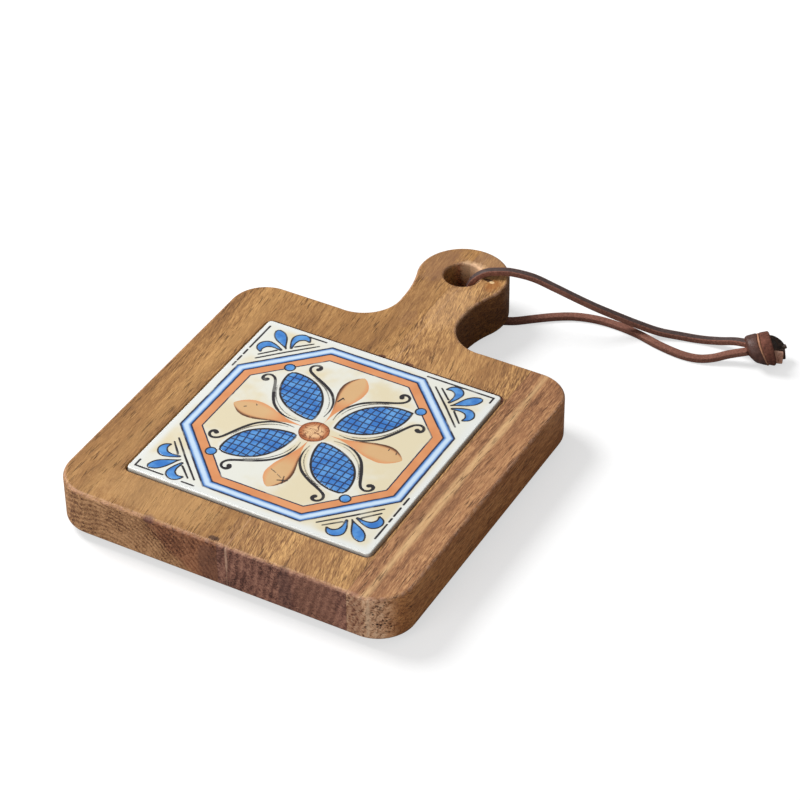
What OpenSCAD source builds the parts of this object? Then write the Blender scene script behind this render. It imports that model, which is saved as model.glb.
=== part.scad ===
/* [Board] */
// Width of the board across its body
board_w = 142; // [126:1:180]
// Length of the board with its handle
overall_l = 200; // [192:1:240]
// Length of the body, from the front edge to the shoulders
body_l = 140.5; // [128:0.5:146]
// Thickness of the board
board_t = 19; // [15:0.5:25]
// Radius of the body's corners, seen from above
corner_r = 14.5; // [8:0.5:22]
// Radius of the rounded top and bottom edges
ease_r = 1.5; // [0.5:0.1:2.5]

/* [Handle] */
// Width of the neck at its narrowest
neck_w = 27; // [22:0.5:29]
// Radius of the handle's round end
head_r = 18.3; // [16.5:0.1:20]
// How far the handle's round end and its hole lie to the right of the middle line
head_x = 0.6; // [-1:0.1:1]
// Radius of the hollows between the shoulders and the neck
shoulder_r = 15.5; // [11:0.5:17]
// How far the neck's narrowest place on the waist arc lies past the one on the shoulder arc
waist_rise = 2; // [1:0.5:4]
// Radius of the neck's rounded edges, which are worn less than the others
neck_ease_r = 1.3; // [0.5:0.1:2.3]
// Diameter of the hanging hole
hole_d = 15; // [11:0.5:18]
// Distance from the end of the handle to the middle of the hole
hole_from_end = 18.5; // [16:0.5:21]
// Radius of the hole's rounded rims
hole_ease_r = 1; // [0.4:0.1:1.5]

/* [Staves] */
// Place of the left glue joint across the board, from the middle line
left_joint_x = 0; // [-12:1:3]
// Place of the right glue joint across the board, from the middle line
right_joint_x = 52; // [35:1:54]

/* [Tile] */
// Side of the square tile
tile_w = 100; // [90:1:104]
// Thickness of the tile
tile_t = 7; // [5:0.5:9]
// Radius of the tile's corners, seen from above
tile_corner_r = 2; // [1.6:0.1:4]
// Radius of the tile's rounded top edges
tile_ease_r = 1.2; // [0.5:0.1:1.4]
// Height of the tile's face above the board
tile_proud = 0.8; // [0.2:0.1:2]
// Gap between the tile and the sides of its recess
tile_gap = 1.2; // [0.5:0.1:2]
// Wood between the board's front edge and the tile
front_margin = 19.5; // [16:0.5:22]
// Thickness of the adhesive bed under the tile
adhesive_t = 1; // [0.5:0.1:2]
// Distance of the adhesive bed's edges from the tile's edges
adhesive_inset = 4; // [2:0.5:10]
// Width of the keying grooves in the tile's back
key_w = 4; // [2:0.5:5]
// Depth of the keying grooves
key_depth = 0.8; // [0.4:0.1:1.5]
// Distance from one keying groove to the next
key_pitch = 9; // [7:0.5:14]

/* [Feet] */
// Diameter of a non-slip foot
foot_d = 10; // [8:0.5:14]
// Height of a foot
foot_h = 3; // [2.6:0.1:5]
// Radius of a foot's rounded lower edge
foot_ease_r = 1.2; // [0.5:0.1:2]
// Distance of a foot's middle from the body's edges
foot_inset = 16; // [12:0.5:22]

/* [Lace] */
// Width of the leather lace
lace_w = 3.2; // [2.6:0.1:3.6]
// Thickness of the leather lace
lace_t = 2.2; // [1.6:0.1:2.3]
// Width of the worn bevels along the lace's edges
lace_bevel = 0.4; // [0.2:0.1:0.7]
// Diameter of the knot
knot_d = 13; // [11:0.5:14]
// Distance from one wrap of the knot to the next
wrap_pitch = 3.7; // [3.3:0.1:4.5]
// Length of the cut ends past the knot
tail_l = 3; // [2:0.5:8]

/* [Hidden] */
$fn = 96;
// Overrun of every cut past the face that it opens
over = 1;
// How far the outline's arcs cut into each other, so that they cross instead of only touching
arc_bite = 0.1;
// Turn of the waist arc past both of its ends
waist_overturn = 4;

front_y = -overall_l / 2;
back_y = overall_l / 2;
shoulder_y = front_y + body_l;
top_z = foot_h + board_t;
mid_z = foot_h + board_t / 2;
corner_x = board_w / 2 - corner_r;

neck_x = neck_w / 2;
neck_y = shoulder_y + shoulder_r - arc_bite;
head_y = back_y - head_r;
hole_y = back_y - hole_from_end;

waist_y = neck_y + waist_rise;
rise_y = head_y - waist_y;
bitten_r = head_r - arc_bite;

// The waist arc of a side, 1 for the right and -1 for the left, passes through the neck's
// narrowest place and bites the round end by arc_bite. Places are in the side's own frame,
// in which x grows away from the middle line.
function neck_reach(side) = neck_x - side * head_x;
function waist_r(side) = let (n = neck_reach(side))
    (n * n + rise_y * rise_y - bitten_r * bitten_r) / (2 * (bitten_r - n));
function waist_x(side) = neck_x + waist_r(side);
function waist_a(side) = atan2(rise_y, neck_reach(side) + waist_r(side));
function meeting(side) = [
    waist_x(side) - waist_r(side) * cos(waist_a(side)),
    waist_y + waist_r(side) * sin(waist_a(side)),
];

tile_y = front_y + front_margin + tile_w / 2;
tile_z = top_z + tile_proud - tile_t;
recess_w = tile_w + 2 * tile_gap;
recess_corner_r = tile_corner_r + tile_gap;
recess_z = tile_z - adhesive_t;
adhesive_w = tile_w - 2 * adhesive_inset;
key_count = floor((adhesive_w - key_w) / key_pitch);

// Each run of the lace starts half way down the hole, where the two runs meet
UPPER_ROUTE = [
    [1.5, 80.5, 12.5], [1.5, 80.5, 15.0], [1.9, 80.7, 18.0], [3.2, 81.4, 20.7],
    [5.6, 82.7, 22.9], [8.6, 84.3, 24.1], [12.0, 86.2, 24.4], [18.0, 88.9, 24.4],
    [26.5, 91.2, 23.2], [35.0, 92.8, 20.4], [43.0, 95.1, 16.8], [50.5, 98.4, 12.6],
    [58.0, 102.3, 8.4], [65.5, 105.5, 5.0], [73.5, 108.2, 2.5], [81.5, 111.0, 1.4],
    [89.5, 112.9, 1.3], [97.0, 113.9, 2.6], [103.5, 113.6, 5.0], [109.8, 112.0, 7.2],
];
LOWER_ROUTE = [
    [1.5, 80.5, 12.5], [1.5, 80.5, 10.0], [1.9, 80.7, 7.0], [3.2, 81.4, 4.3],
    [5.8, 82.8, 2.1], [10.0, 84.6, 1.2], [15.0, 86.5, 1.2], [20.0, 89.2, 1.2],
    [26.0, 94.0, 1.2], [32.5, 99.0, 1.2], [39.5, 103.0, 1.2], [48.0, 105.3, 1.2],
    [57.0, 105.6, 1.2], [66.5, 104.4, 1.2], [76.5, 101.8, 1.2], [86.0, 100.4, 1.2],
    [93.0, 101.0, 1.3], [98.5, 103.2, 2.0], [104.0, 106.5, 3.6], [110.6, 109.3, 5.6],
];
// Rings of a lace run for each stretch between two of its points
RINGS_PER_STRETCH = 2;
// Rings ahead that a run's level width is turned by
RINGS_AHEAD = 6;
KNOT_CENTRE = [113.5, 112.0];
KNOT_HEADING = 29;
// Turns of the three wraps of the knot away from square, and their sizes as shares of its diameter
WRAP_TURNS = [20, 9, -12];
WRAP_SHARES = [0.86, 1, 0.88];
// How far the knot's core reaches into its middle wrap
WRAP_BITE = 0.4;
// Turns of the two cut ends away from the knot's own heading
TAIL_TURNS = [-16, 14];

STAVES = ["left_stave", "centre_stave", "right_stave"];
FEET = ["foot_front_left", "foot_front_right", "foot_back_left", "foot_back_right"];
LACE = ["lace_upper_run", "lace_lower_run", "lace_knot"];

module both_faces() {
    children();
    mirror([0, 0, 1]) children();
}

// Square with rounded corners, about the origin
module rounded_square(w, r) {
    square([w, w - 2 * r], center = true);
    square([w - 2 * r, w], center = true);
    for (sx = [-1, 1], sy = [-1, 1])
        translate([sx * (w / 2 - r), sy * (w / 2 - r)]) circle(r = r);
}

// What a rounded edge of radius r takes off: the edge is at x = 0, the face at y = half_t,
// and the material lies at x below 0
module ease_profile(r, half_t) {
    difference() {
        translate([-r, half_t - r]) square([r + over, r + over]);
        translate([-r, half_t - r]) circle(r = r);
    }
}

// Rounds the top edge of a straight side that starts at a point and has the material on its left
module ease_line(start, heading, length, r, half_t) {
    translate(start) rotate(heading) rotate([90, 0, 90])
        linear_extrude(length) mirror([1, 0]) ease_profile(r, half_t);
}

// Rounds the top edge of an arc that bulges
module ease_bulge(centre, radius, from, to, r, half_t) {
    translate(centre) rotate(from)
        rotate_extrude(angle = to - from) translate([radius, 0]) ease_profile(r, half_t);
}

// A round hollow through a plate, with both of its rims rounded
module hollow(centre, radius, from, to, r, half_t) {
    translate(centre) rotate(from) rotate_extrude(angle = to - from) {
        translate([0, -half_t - over]) square([radius, 2 * half_t + 2 * over]);
        translate([radius, 0]) mirror([1, 0]) ease_profile(r, half_t);
        translate([radius, 0]) mirror([1, 0]) mirror([0, 1]) ease_profile(r, half_t);
    }
}

// The board seen from above, before its hollows are cut
module blank() {
    translate([-corner_x, front_y]) square([2 * corner_x, body_l]);
    translate([-board_w / 2, front_y + corner_r]) square([board_w, body_l - 2 * corner_r]);
    for (sx = [-1, 1], y = [front_y + corner_r, shoulder_y - corner_r])
        translate([sx * corner_x, y]) circle(r = corner_r);
    neck_base_x = neck_x + shoulder_r;
    polygon([
        [-neck_base_x, shoulder_y - over],
        [neck_base_x, shoulder_y - over],
        [neck_base_x, neck_y],
        meeting(1),
        [-meeting(-1).x, meeting(-1).y],
        [-neck_base_x, neck_y],
    ]);
    translate([head_x, head_y]) circle(r = head_r);
}

// The rounded edges and the hollows of one side of the board, in that side's own frame
module side_rim(side, half_t) {
    hollow_from = 180 - waist_a(side) - waist_overturn;
    both_faces() {
        ease_line([0, front_y], 0, corner_x, ease_r, half_t);
        ease_bulge([corner_x, front_y + corner_r], corner_r, -90, 0, ease_r, half_t);
        ease_line([board_w / 2, front_y + corner_r], 90, body_l - 2 * corner_r, ease_r, half_t);
        ease_bulge([corner_x, shoulder_y - corner_r], corner_r, 0, 90, ease_r, half_t);
        ease_line([corner_x, shoulder_y], 180, corner_x - neck_x - shoulder_r, ease_r, half_t);
    }
    hollow([neck_x + shoulder_r, neck_y], shoulder_r, 0, 360, ease_r, half_t);
    hollow([waist_x(side), waist_y], waist_r(side), hollow_from, 180 + waist_overturn, neck_ease_r, half_t);
}

module recess() {
    translate([0, tile_y, recess_z])
        linear_extrude(top_z - recess_z + over) rounded_square(recess_w, recess_corner_r);
}

// One stave: the slice of the board between two glue joints
module stave(from_x, to_x) {
    difference() {
        translate([0, 0, foot_h]) linear_extrude(board_t) intersection() {
            blank();
            translate([from_x, front_y - over]) square([to_x - from_x, overall_l + 2 * over]);
        }
        translate([0, 0, mid_z]) {
            side_rim(1, board_t / 2);
            mirror([1, 0]) side_rim(-1, board_t / 2);
            both_faces()
                ease_bulge([head_x, head_y], head_r, -waist_a(1), 180 + waist_a(-1), ease_r, board_t / 2);
            hollow([head_x, hole_y], hole_d / 2, 0, 360, hole_ease_r, board_t / 2);
        }
        recess();
    }
}

module left_stave() {
    color([0.66, 0.49, 0.31]) stave(-board_w / 2 - over, left_joint_x);
}

module centre_stave() {
    color([0.74, 0.58, 0.37]) stave(left_joint_x, right_joint_x);
}

module right_stave() {
    color([0.67, 0.47, 0.32]) stave(right_joint_x, board_w / 2 + over);
}

// The keying grooves of the tile's back, as wide as the adhesive bed
module keys() {
    for (i = [-key_count / 2 : key_count / 2])
        translate([i * key_pitch, 0]) square([key_w, adhesive_w], center = true);
}

module tile() {
    tile_corner_x = tile_w / 2 - tile_corner_r;
    color([0.94, 0.91, 0.83]) translate([0, tile_y, tile_z]) difference() {
        linear_extrude(tile_t) rounded_square(tile_w, tile_corner_r);
        for (turn = [0, 90, 180, 270]) rotate(turn) {
            ease_line([-tile_corner_x, -tile_w / 2], 0, 2 * tile_corner_x, tile_ease_r, tile_t);
            ease_bulge([tile_corner_x, -tile_corner_x], tile_corner_r, -90, 0, tile_ease_r, tile_t);
        }
        translate([0, 0, -over]) linear_extrude(key_depth + over) keys();
    }
}

// The bed under the tile, pressed up into the keying grooves
module tile_adhesive() {
    color([0.80, 0.80, 0.77]) translate([0, tile_y, recess_z]) {
        linear_extrude(adhesive_t) square(adhesive_w, center = true);
        linear_extrude(adhesive_t + key_depth) keys();
    }
}

// One foot: a stuck-on rubber pad with a rounded lower edge
module foot(i) {
    side = i % 2 == 0 ? -1 : 1;
    y = i < 2 ? front_y + foot_inset : shoulder_y - foot_inset;
    rim_x = foot_d / 2 - foot_ease_r;
    color([0.16, 0.15, 0.14]) translate([side * (board_w / 2 - foot_inset), y, 0]) rotate_extrude() {
        square([rim_x, foot_h]);
        translate([0, foot_ease_r]) square([foot_d / 2, foot_h - foot_ease_r]);
        intersection() {
            translate([rim_x, foot_ease_r]) circle(r = foot_ease_r);
            square([foot_d, foot_d]);
        }
    }
}

function unit(v) = v / norm(v);

// Point at the share t of the stretch from b to c, on a smooth curve through a, b, c and d
function between(a, b, c, d, t) =
    (2 * b + (c - a) * t + (2 * a - 5 * b + 4 * c - d) * t * t + (3 * b - a - 3 * c + d) * t * t * t) / 2;

// The points of a route and those between them, RINGS_PER_STRETCH for each stretch
function smoothed(p) = let (last = len(p) - 1) concat([
    for (i = [0 : last - 1], k = [0 : RINGS_PER_STRETCH - 1])
        between(p[max(i - 1, 0)], p[i], p[i + 1], p[min(i + 2, last)], k / RINGS_PER_STRETCH)
], [p[last]]);

// Direction of travel at ring i: straight up or down at the start, where the two runs meet
function travel(q, i) = let (step = q[min(i + 1, len(q) - 1)] - q[max(i - 1, 0)])
    i == 0 ? [0, 0, sign(step.z)] : unit(step);

// The lace's width at ring i: level, and square to the way that the run goes next
function level_width(q, i) =
    let (a = min(i, len(q) - 1 - RINGS_AHEAD), ahead = q[a + RINGS_AHEAD] - q[a])
    unit([-ahead.y, ahead.x, 0]);

// The lace's section, a flat strip with bevelled edges
function lace_section() = let (x = lace_w / 2, y = lace_t / 2, b = lace_bevel) [
    [x, y - b], [x - b, y], [b - x, y], [-x, y - b], [-x, b - y], [b - x, -y], [x - b, -y], [x, b - y],
];

function ring(q, i) =
    let (t = travel(q, i), n = unit(cross(t, level_width(q, i))), w = cross(n, t))
    [for (s = lace_section()) q[i] + w * s.x + n * s.y];

module lace_run(route) {
    q = smoothed(route);
    sides = len(lace_section());
    last = len(q) - 1;
    points = [for (i = [0 : last]) each ring(q, i)];
    walls = [for (i = [0 : last - 1], k = [0 : sides - 1])
        let (a = i * sides + k, b = i * sides + (k + 1) % sides) each [[a, b, b + sides], [a, b + sides, a + sides]]];
    start_cap = [for (k = [1 : sides - 2]) [0, k + 1, k]];
    end_cap = [for (k = [1 : sides - 2]) [last * sides, last * sides + k, last * sides + k + 1]];
    color([0.38, 0.24, 0.19]) polyhedron(points, concat(walls, start_cap, end_cap));
}

module lace_upper_run() {
    lace_run(UPPER_ROUTE);
}

module lace_lower_run() {
    lace_run(LOWER_ROUTE);
}

// The knot: three wraps of the doubled lace round a core, with the two cut ends past it
module lace_knot() {
    wraps = len(WRAP_TURNS);
    core_l = wraps * wrap_pitch;
    color([0.33, 0.19, 0.15]) translate([KNOT_CENTRE.x, KNOT_CENTRE.y, knot_d / 2]) rotate(KNOT_HEADING) {
        rotate([0, 90, 0]) cylinder(d = knot_d - 2 * lace_t + 2 * WRAP_BITE, h = core_l - lace_t, center = true);
        for (i = [0 : wraps - 1])
            translate([(i - (wraps - 1) / 2) * wrap_pitch, 0, 0]) rotate([0, 90, WRAP_TURNS[i]])
                rotate_extrude() translate([WRAP_SHARES[i] * knot_d / 2 - lace_t / 2, 0])
                    rotate(90) polygon(lace_section());
        for (turn = TAIL_TURNS) rotate(turn)
            rotate([90, 0, 90]) linear_extrude(core_l / 2 + tail_l) translate([sign(turn) * lace_w / 2, 0]) polygon(lace_section());
    }
}

left_stave();
centre_stave();
right_stave();
tile();
tile_adhesive();
foot(0);  // foot_front_left
foot(1);  // foot_front_right
foot(2);  // foot_back_left
foot(3);  // foot_back_right
lace_upper_run();
lace_lower_run();
lace_knot();
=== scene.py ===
import math

import bpy
import numpy as np
from mathutils import Matrix, Vector
from mathutils.geometry import delaunay_2d_cdt


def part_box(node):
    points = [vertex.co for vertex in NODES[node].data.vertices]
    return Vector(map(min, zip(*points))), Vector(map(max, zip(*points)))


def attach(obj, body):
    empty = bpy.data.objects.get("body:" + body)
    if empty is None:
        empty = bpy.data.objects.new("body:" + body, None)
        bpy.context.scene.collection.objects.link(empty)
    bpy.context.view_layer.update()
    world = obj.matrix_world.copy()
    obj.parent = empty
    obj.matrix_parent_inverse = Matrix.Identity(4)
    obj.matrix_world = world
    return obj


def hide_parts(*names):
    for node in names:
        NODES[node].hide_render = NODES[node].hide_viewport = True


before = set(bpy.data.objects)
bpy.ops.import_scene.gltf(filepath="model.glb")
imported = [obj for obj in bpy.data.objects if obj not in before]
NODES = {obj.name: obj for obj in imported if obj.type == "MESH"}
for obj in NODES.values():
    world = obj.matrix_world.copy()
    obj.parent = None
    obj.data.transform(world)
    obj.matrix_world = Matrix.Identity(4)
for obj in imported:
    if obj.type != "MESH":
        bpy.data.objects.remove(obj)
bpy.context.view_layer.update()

# Materials, lights and the camera are in metres. The lace, the knot and the tile are worked out in
# millimetres, and new_piece brings their points to metres.
BODY = "trivet"
MM = 0.001
# The corners of a square, in turn
SQUARE = ((-1, -1), (1, -1), (1, 1), (-1, 1))


def metres(values):
    """A place or lengths in millimetres, in metres."""
    return tuple(float(v) * MM for v in values)


def new_object(name, data):
    obj = bpy.data.objects.new(name, data)
    bpy.context.scene.collection.objects.link(obj)
    return obj


# The camera, at the photograph's angle: its place, its azimuth, elevation and roll in degrees, its lens

CAMERA_AT = (0.418634, -0.713844, 0.671232)
CAMERA_ANGLES = (29.322, 38.383, -0.548)
CAMERA_LENS = 127.492
CAMERA_SENSOR = 36


def make_camera():
    az, el, roll = (math.radians(a) for a in CAMERA_ANGLES)
    back = Vector((math.sin(az) * math.cos(el), -math.cos(az) * math.cos(el), math.sin(el)))
    right = Vector((math.cos(az), math.sin(az), 0))
    up = back.cross(right)
    across = right * math.cos(roll) + up * math.sin(roll)
    upward = up * math.cos(roll) - right * math.sin(roll)
    data = bpy.data.cameras.new("camera")
    data.sensor_width = CAMERA_SENSOR
    data.lens = CAMERA_LENS
    turn = Matrix((across, upward, back)).transposed().to_4x4()
    turn.translation = Vector(CAMERA_AT)
    cam = new_object("camera", data)
    cam.matrix_world = turn
    bpy.context.scene.camera = cam


make_camera()

# Node materials


class Nodes:
    """A node material, built by short calls. An input goes by its name, or by i and its number."""

    def __init__(self, name):
        self.material = bpy.data.materials.new(name)
        self.material.use_nodes = True
        self.tree = self.material.node_tree
        self.tree.nodes.clear()
        out = self.tree.nodes.new("ShaderNodeOutputMaterial")
        self.bsdf = self.tree.nodes.new("ShaderNodeBsdfPrincipled")
        self.tree.links.new(self.bsdf.outputs[0], out.inputs[0])
        self.coords = self.tree.nodes.new("ShaderNodeTexCoord").outputs["Object"]

    def put(self, socket, value):
        """Links a socket's value, or sets a number or colour on the socket itself."""
        if isinstance(value, bpy.types.NodeSocket):
            self.tree.links.new(value, socket)
        elif value is not None:
            is_colour = isinstance(value, tuple) and len(socket.default_value) == 4
            socket.default_value = (*value, 1) if is_colour else value

    def add(self, kind, settings=None, **inputs):
        node = self.tree.nodes.new("ShaderNode" + kind)
        for key, value in (settings or {}).items():
            setattr(node, key, value)
        for key, value in inputs.items():
            self.put(node.inputs[int(key[1:]) if key[0] == "i" and key[1:].isdigit() else key], value)
        return node

    def surface(self, **inputs):
        for key, value in inputs.items():
            self.put(self.bsdf.inputs[key.replace("_", " ")], value)

    def bump(self, height, distance, strength):
        normal = self.add("Bump", None, Height=height, Distance=distance, Strength=strength)
        self.surface(Normal=normal.outputs[0])

    def math(self, operation, a, b=None):
        return self.add("Math", {"operation": operation}, i0=a, i1=b).outputs[0]

    def times(self, a, b):
        return self.math("MULTIPLY", a, b)

    def summed(self, first, *others):
        for other in others:
            first = self.math("ADD", first, other)
        return first

    def centred(self, noise, share):
        """A noise of 0 to 1 made to swing round zero, by so much from end to end."""
        return self.times(self.math("SUBTRACT", noise, 0.5), share)

    def away(self, value, place):
        return self.math("ABSOLUTE", self.math("SUBTRACT", value, place))

    def step(self, value, low, high, to_low=0, to_high=1):
        """The value carried smoothly from low..high to to_low..to_high, and held at the ends."""
        return self.add("MapRange", {"interpolation_type": "SMOOTHSTEP"},
                        i0=value, i1=low, i2=high, i3=to_low, i4=to_high).outputs[0]

    def mix(self, share, a, b, blend="MIX"):
        return self.add("Mix", {"data_type": "RGBA", "blend_type": blend}, i0=share, i6=a, i7=b).outputs[2]

    def ramp(self, value, stops):
        node = self.add("ValToRGB", None, Fac=value)
        points = node.color_ramp.elements
        while len(points) < len(stops):
            points.new(0.5)
        for point, (place, colour) in zip(points, stops):
            point.position = place
            point.color = (*colour, 1)
        return node.outputs[0]

    def noise(self, scale, detail=2, roughness=0.5, distortion=0, coords=None):
        return self.add("TexNoise", None, Vector=coords or self.coords, Scale=scale, Detail=detail,
                        Roughness=roughness, Distortion=distortion).outputs["Fac"]

    def vector(self, operation, a, b):
        return self.add("VectorMath", {"operation": operation}, i0=a, i1=b).outputs[0]

    def split(self, coords):
        return self.add("SeparateXYZ", None, i0=coords).outputs

    def joined(self, x, y, z):
        return self.add("CombineXYZ", None, i0=x, i1=y, i2=z).outputs[0]

    def attribute(self, name):
        return self.add("Attribute", {"attribute_name": name}).outputs["Fac"]


def rgb(*levels):
    """A colour given as it looks on the screen, 0 to 255, in the linear values that shaders use."""
    shares = (level / 255 for level in levels)
    return tuple(c / 12.92 if c <= 0.04045 else ((c + 0.055) / 1.055) ** 2.4 for c in shares)


def darker(colour, share):
    return tuple(c * share for c in colour)


# The wood: places and lengths in metres in the part's own frame, tones from 0 for pale to 1 for dark

# Its noises: cells for each metre across the grain and along it, detail and roughness
GRAIN_NOISES = {
    "drift": (12, 9, 1, 0.5),
    "slow": (18, 4, 2, 0.5),
    "lively": (40, 22, 2, 0.5),
    "patch": (60, 38, 2, 0.6),
    "wander": (70, 14, 3, 0.5),
    "broad": (75, 8, 3, 0.55),
    "strewn": (140, 40, 2, 0.5),
    "coarse": (330, 26, 4, 0.6),
    "thread": (1000, 95, 4, 0.7),
    "pore": (1500, 120, 2, 0.6),
    "fibre": (2300, 330, 3, 0.6),
}
# How far the noises push the wood's lines aside
GRAIN_DRIFT = 0.012
STREAK_WANDER = 0.006
ARC_DRIFT = 0.012
ARC_WANDER = 0.003
RED_WANDER = 0.016
# A planed face's middle tone, and what the noises add to it
FACE_TONE = 0.46
THREAD_TONE = 0.88
COARSE_TONE = 0.68
BROAD_TONE = 0.95
PORE_STRENGTH = 0.72
PORE_SHADE = 0.55
# The end grain's middle tone, and what its arcs and noises add to it
END_TONE = 0.45
ARC_TONE = 0.30
GRIT_TONE = 2.8
BLOTCH_TONE = 1.15
RAY_TONE = 0.6
GRIT_SCALE = 620
RAY_SCALES = (420, 60)
BLOTCH_SCALES = (75, 20, 85)
PIT_STRETCH = (1, 0.9, 1.17)
PIT_SHADE = 0.30
RED_SLOPE = 0.9
RED_FADE = 0.006
# Glue lines: half the width that is full, and that is tinted at all
GLUE_FULL = 0.00008
GLUE_FADED = 0.00030
# How the edges of a mark or painted highlight are torn
MARK_EDGE_SCALE = 520
MARK_EDGE_TEAR = 1.1
GRAIN_RELIEF = 0.00020

# Pale colour of the eased edges: partly wear, partly a painted highlight
EDGE_WEAR_AND_HIGHLIGHT = rgb(200, 154, 126)
SEAM = rgb(48, 30, 20)
PALE_GLUE = rgb(206, 168, 140)


class WoodNodes(Nodes):
    """The nodes of a stave's wood, with the places and noises that its parts share."""

    def __init__(self, name, lean, cross_lean):
        super().__init__(name)
        self.x, self.y, self.z = self.split(self.coords)
        self.drift = self.grain("drift")
        self.along = self.leaning(lean)
        self.wander = self.grain("wander")
        self.thread = self.grain("thread", self.along)
        self.fibre = self.grain("fibre", self.leaning(cross_lean))
        self.normal = self.split(self.add("NewGeometry").outputs["Normal"])

    def grain(self, name, coords=None):
        across, along, detail, roughness = GRAIN_NOISES[name]
        stretched = self.vector("MULTIPLY", coords or self.coords, (across, along, across))
        return self.noise(1, detail, roughness, coords=stretched)

    def leaning(self, by):
        """Coordinates that drift, and that lean aside by so much for each step along the board."""
        across = self.summed(self.x, self.centred(self.drift, GRAIN_DRIFT), self.times(self.y, by))
        return self.joined(across, self.y, self.z)


def planed_face(n, colours, crisp, figure, streaks):
    """The planed faces' colour, tone and pores: fibres, soft bands, patches and streaks along the board."""
    pale, middle, dark = (rgb(*colour) for colour in colours)
    lively = n.step(n.grain("lively"), 0.35, 0.62, 0.35, 1)
    tone = n.summed(
        FACE_TONE, n.times(lively, n.centred(n.fibre, crisp)), n.centred(n.thread, THREAD_TONE),
        n.centred(n.grain("coarse", n.along), COARSE_TONE), n.centred(n.grain("broad", n.along), BROAD_TONE),
        n.centred(n.grain("patch"), figure))
    colour = n.ramp(tone, [(0.02, pale), (FACE_TONE, middle), (0.98, dark)])
    for place, width, tint, strength in streaks:
        away = n.summed(n.away(n.x, place * MM), n.centred(n.wander, STREAK_WANDER))
        broken = n.step(n.thread, 0.30, 0.60, 0.4, 1)
        colour = n.mix(n.times(n.step(away, width * MM, 0, 0, strength), broken), colour, rgb(*tint))
    stroke = n.step(n.grain("pore", n.along), 0.54, 0.68)
    pore = n.times(stroke, n.step(n.grain("strewn"), 0.38, 0.60, 0.20, 1))
    colour = n.mix(n.times(pore, PORE_STRENGTH), colour, darker(dark, PORE_SHADE))
    return colour, tone, pore


def end_grain(n, heart, colours, arc_pitch, lean, pits=1150, pit_size=0.32, red_from=0, red=None):
    """The sawn ends' colour and open pores: faint arcs round the heart, grit, blotches and leaning rays."""
    pale, middle, dark = (rgb(*colour) for colour in colours)
    dx = n.math("SUBTRACT", n.x, heart[0])
    dz = n.math("SUBTRACT", n.z, heart[1])
    radius = n.math("SQRT", n.summed(n.times(dx, dx), n.times(dz, dz)))
    bent = n.summed(radius, n.centred(n.grain("slow"), ARC_DRIFT), n.centred(n.wander, ARC_WANDER))
    saw = n.math("FRACT", n.math("DIVIDE", bent, arc_pitch))
    arcs = n.step(n.math("ABSOLUTE", n.centred(saw, 2)), 0.1, 0.95)
    grit = n.noise(GRIT_SCALE, 4, 0.75, 1.6)
    blotch = n.noise(1, 4, 0.65, coords=n.vector("MULTIPLY", n.coords, BLOTCH_SCALES))
    leaning = n.summed(n.x, n.times(n.z, lean))
    across, up = RAY_SCALES
    rays = n.noise(1, 3, 0.6, coords=n.joined(n.times(leaning, across), 0.0, n.times(n.z, up)))
    tone = n.summed(END_TONE, n.centred(arcs, ARC_TONE), n.centred(grit, GRIT_TONE),
                    n.centred(blotch, BLOTCH_TONE), n.centred(rays, RAY_TONE))
    colour = n.ramp(tone, [(0.05, pale), (0.48, middle), (0.92, dark)])
    if red:
        turning = n.summed(n.x, n.times(n.z, RED_SLOPE), n.centred(blotch, RED_WANDER))
        colour = n.mix(n.step(turning, red_from, red_from + RED_FADE), colour, red, "MULTIPLY")
    cells = n.add("TexVoronoi", {"feature": "F1"}, Vector=n.vector("MULTIPLY", n.coords, PIT_STRETCH),
                  Scale=pits, Randomness=1).outputs["Distance"]
    pit = n.times(n.step(cells, pit_size, pit_size * 0.5), n.step(blotch, 0.42, 0.58, 0.15, 0.95))
    return n.mix(pit, colour, darker(dark, PIT_SHADE)), pit


def worn_and_highlit_edges(n, colour):
    """The colour with the eased edges, which face neither up nor aside, pale in places: partly wear, partly a
    painted highlight.
    """
    upright = n.math("ABSOLUTE", n.normal[2])
    eased = n.times(n.step(upright, 0.15, 0.45), n.step(upright, 0.992, 0.93))
    worn = n.step(n.noise(420, 4, 0.75), 0.40, 0.64, 0.06, 0.62)
    # Edges made pale: wear, and a painted highlight
    return n.mix(n.times(eased, worn), colour, EDGE_WEAR_AND_HIGHLIGHT)


def glue_lines(n, colour, joints):
    for place, tint, strength in joints:
        near = n.step(n.away(n.x, place), GLUE_FADED, GLUE_FULL, 0, strength)
        colour = n.mix(near, colour, tint)
    return colour


def marked_and_highlit(n, colour, marks_and_highlights):
    """The colour with the spots and patches of this one board, and its painted highlights, each at its place
    with its reach.
    """
    for place, size, tint, strength in marks_and_highlights:
        gap = n.vector("DIVIDE", n.vector("SUBTRACT", n.coords, metres(place)), metres(size))
        reach = n.add("VectorMath", {"operation": "LENGTH"}, i0=gap).outputs["Value"]
        reach = n.summed(reach, n.centred(n.noise(MARK_EDGE_SCALE, 3, 0.7), MARK_EDGE_TEAR))
        colour = n.mix(n.step(reach, 1.0, 0.55, 0, strength), colour, rgb(*tint))
    return colour


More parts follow.
